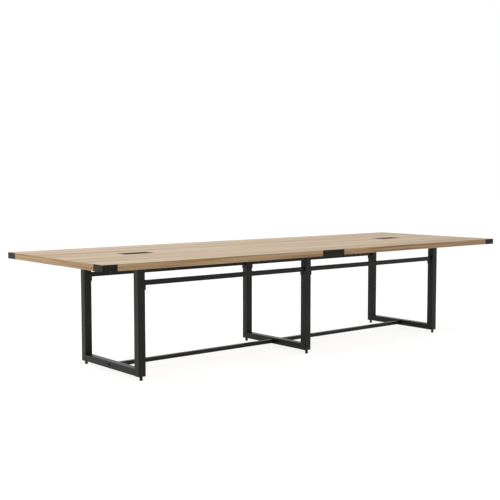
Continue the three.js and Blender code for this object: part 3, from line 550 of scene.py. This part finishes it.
# Rail end plates: flat bar about as wide as the leg, cut with rounded corners and welded over the
# end of each rail. It hangs below the rail, where a black button-head bolt holds it to the leg.
# The frame's own plates are narrower, and these stand in their place.
RAIL_PLATE_WIDTH = 50 * MM
RAIL_PLATE_CORNER = 4 * MM
RAIL_PLATE_EASE = 0.5 * MM
RAIL_BOLT = {"width": 11 * MM, "height": 4 * MM, "drive": 4 * MM}
RAIL_BOLT_Z = 570 * MM
for node_name in [name for name in nodes if name.startswith("rail_plate_")]:
    low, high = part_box(node_name)
    middle = (low + high) / 2
    rail_low, rail_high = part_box(node_name.replace("rail_plate_", "rail_").rsplit("_", 1)[0])
    toward_rail = 1 if low.x < rail_low.x else -1
    face_x = high.x if toward_rail > 0 else low.x
    plate = bmesh.new()
    bmesh.ops.create_cube(plate, size=1)
    bmesh.ops.scale(plate, vec=(high.x - low.x, RAIL_PLATE_WIDTH, high.z - low.z), verts=list(plate.verts))
    across = [edge for edge in plate.edges if edge.verts[0].co.x * edge.verts[1].co.x < 0]
    bmesh.ops.bevel(
        plate, geom=across, offset=RAIL_PLATE_CORNER, segments=CORNER_STEPS, profile=0.5, affect="EDGES",
        material=-1)
    sharp = [edge for edge in plate.edges if edge.calc_face_angle(0) > CRISP_ANGLE]
    bmesh.ops.bevel(
        plate, geom=sharp, offset=RAIL_PLATE_EASE, segments=RIM_STEPS, profile=0.5, affect="EDGES",
        material=-1)
    bmesh.ops.translate(plate, vec=middle, verts=list(plate.verts))
    bead_size = rail_high.z - rail_low.z + 2 * (BEAD_PROUD - BEAD)
    bead = rounded_ring(bead_size, bead_size, BEAD_CORNER, BEAD, BEAD_LENGTH)
    bead_x = face_x - toward_rail * BEAD_SUNK
    place_at = Matrix.Translation((bead_x, middle.y, (rail_low.z + rail_high.z) / 2))
    turn = Matrix.Rotation(toward_rail * math.pi / 2, 4, "Y")
    bmesh.ops.transform(bead, matrix=place_at @ turn, verts=list(bead.verts))
    flange_name = node_name.replace("rail_plate_", "rail_flange_")
    flange = add_piece(flange_name, merged([plate, bead]), coat, "table")
    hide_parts(node_name)
    bolt = screw_heads([Vector((face_x, middle.y, RAIL_BOLT_Z))], (toward_rail, 0, 0), **RAIL_BOLT)
    add_piece(f"{node_name}_bolt", bolt, coat, "table")


# Stretcher bolts: black button heads on the outer face of each end frame's bottom bar. The bolt goes
# through the bar into the closed end of the stretcher.
STRETCHER_BOLT = {"width": 15 * MM, "height": 5 * MM, "drive": 5 * MM}
for place, outward in (("left", -1), ("right", 1)):
    low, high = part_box(f"bottom_bar_{place}")
    stretcher_low, stretcher_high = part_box(f"stretcher_{place}")
    spot = Vector((low.x if outward < 0 else high.x, 0, (stretcher_low.z + stretcher_high.z) / 2))
    bolt = screw_heads([spot], (outward, 0, 0), **STRETCHER_BOLT)
    add_piece(f"stretcher_{place}_bolt", bolt, coat, "table")


# Power unit fittings: a raised moulded rim round each socket and port, stamped brass contacts inside
# them, and the zinc screws that hold the tub's rim to the underside of the top.
SOCKET_X_MM = (-62, 62)
SOCKET_RIM = {"width": 34 * MM, "height": 30 * MM, "corner": 7 * MM, "rim": 1.6 * MM, "depth": 1.2 * MM}
PORT_X_MM = (-13, 13)
PORT_RIM = {"width": 15 * MM, "height": 13 * MM, "corner": 1.6 * MM, "rim": 1.3 * MM, "depth": 0.8 * MM}
CONTACTS = 8
CONTACT_SPACING = 1.3 * MM
CONTACT_SIZE = (0.6 * MM, 9 * MM, 0.6 * MM)
LEAF_SIZE = (1.4 * MM, 6 * MM, 8 * MM)
SLOT_X_MM = (-6.35, 6.35)
SLOT_Y_MM = 6
BLOCK_EASE = 0.2
BLOCK_STEPS = 2
TUB_SHEET = 1.5 * MM
TUB_SCREW = {"width": 6.5 * MM, "height": 2 * MM, "drive": 2.6 * MM}
TUB_SCREW_X_MM = 109.5
TUB_SCREW_Y_MM = 27

# Stamped brass: warm yellow metal, a little dull where the tool has drawn it.
BRASS_MARK_MM = 1.5
brass, tree = new_tree("stamped_brass")
coords = add_node(tree, "ShaderNodeTexCoord")
mark = add_node(tree, "ShaderNodeTexNoise", {
    "Vector": coords.outputs["Object"], "Scale": 1 / (BRASS_MARK_MM * MM)})
brass_colour = add_node(tree, "ShaderNodeValToRGB", {0: mark.outputs["Fac"]})
fill_ramp(brass_colour.color_ramp, ((0.0, "a88645"), (1.0, "d2b56c")))
drawn = add_node(tree, "ShaderNodeMapRange", {"Value": mark.outputs["Fac"], "To Min": 0.28, "To Max": 0.44})
stamped = add_node(tree, "ShaderNodeBsdfPrincipled", {
    "Base Color": brass_colour.outputs[0], "Roughness": drawn.outputs[0], "Metallic": 1.0})
add_node(tree, "ShaderNodeOutputMaterial", {"Surface": stamped.outputs[0]})


def soft_block(size, centre):
    """A small block with eased edges."""
    block = bmesh.new()
    bmesh.ops.create_cube(block, size=1)
    bmesh.ops.scale(block, vec=size, verts=list(block.verts))
    bmesh.ops.bevel(
        block, geom=list(block.edges), offset=BLOCK_EASE * min(size), segments=BLOCK_STEPS, profile=0.5,
        affect="EDGES", material=-1)
    bmesh.ops.translate(block, vec=centre, verts=list(block.verts))
    return block


for place in ("left", "right"):
    low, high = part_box(f"power_outlets_{place}")
    centre = (low + high) / 2
    insert_low, insert_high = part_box(f"power_data_insert_{place}")
    rims = []
    leaves = []
    for x in SOCKET_X_MM:
        rim = rounded_ring(**SOCKET_RIM)
        bmesh.ops.translate(rim, verts=list(rim.verts), vec=(centre.x + x * MM, centre.y, high.z))
        rims.append(rim)
        for slot_x in SLOT_X_MM:
            leaf_place = (centre.x + (x + slot_x) * MM, centre.y + SLOT_Y_MM * MM, high.z - LEAF_SIZE[2])
            leaves.append(soft_block(LEAF_SIZE, leaf_place))
    for x in PORT_X_MM:
        rim = rounded_ring(**PORT_RIM)
        bmesh.ops.translate(rim, verts=list(rim.verts), vec=(centre.x + x * MM, centre.y, insert_high.z))
        rims.append(rim)
        for count in range(CONTACTS):
            offset = (count - (CONTACTS - 1) / 2) * CONTACT_SPACING
            contact_place = (centre.x + x * MM + offset, centre.y, insert_low.z)
            leaves.append(soft_block(CONTACT_SIZE, contact_place))
    add_piece(f"power_socket_rims_{place}", merged(rims), nylon, "table")
    add_piece(f"power_contacts_{place}", merged(leaves), brass, "table")
    tub_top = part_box(f"power_tub_{place}")[1].z
    rim_middle = Vector((centre.x, centre.y, tub_top - TUB_SHEET))
    spots = [rim_middle + Vector((side_x * TUB_SCREW_X_MM, side_y * TUB_SCREW_Y_MM, 0)) * MM
             for side_x in (-1, 1) for side_y in (-1, 1)]
    tub_screws = screw_heads(spots, DOWN, **TUB_SCREW)
    add_piece(f"power_tub_{place}_screws", tub_screws, zinc, "table")
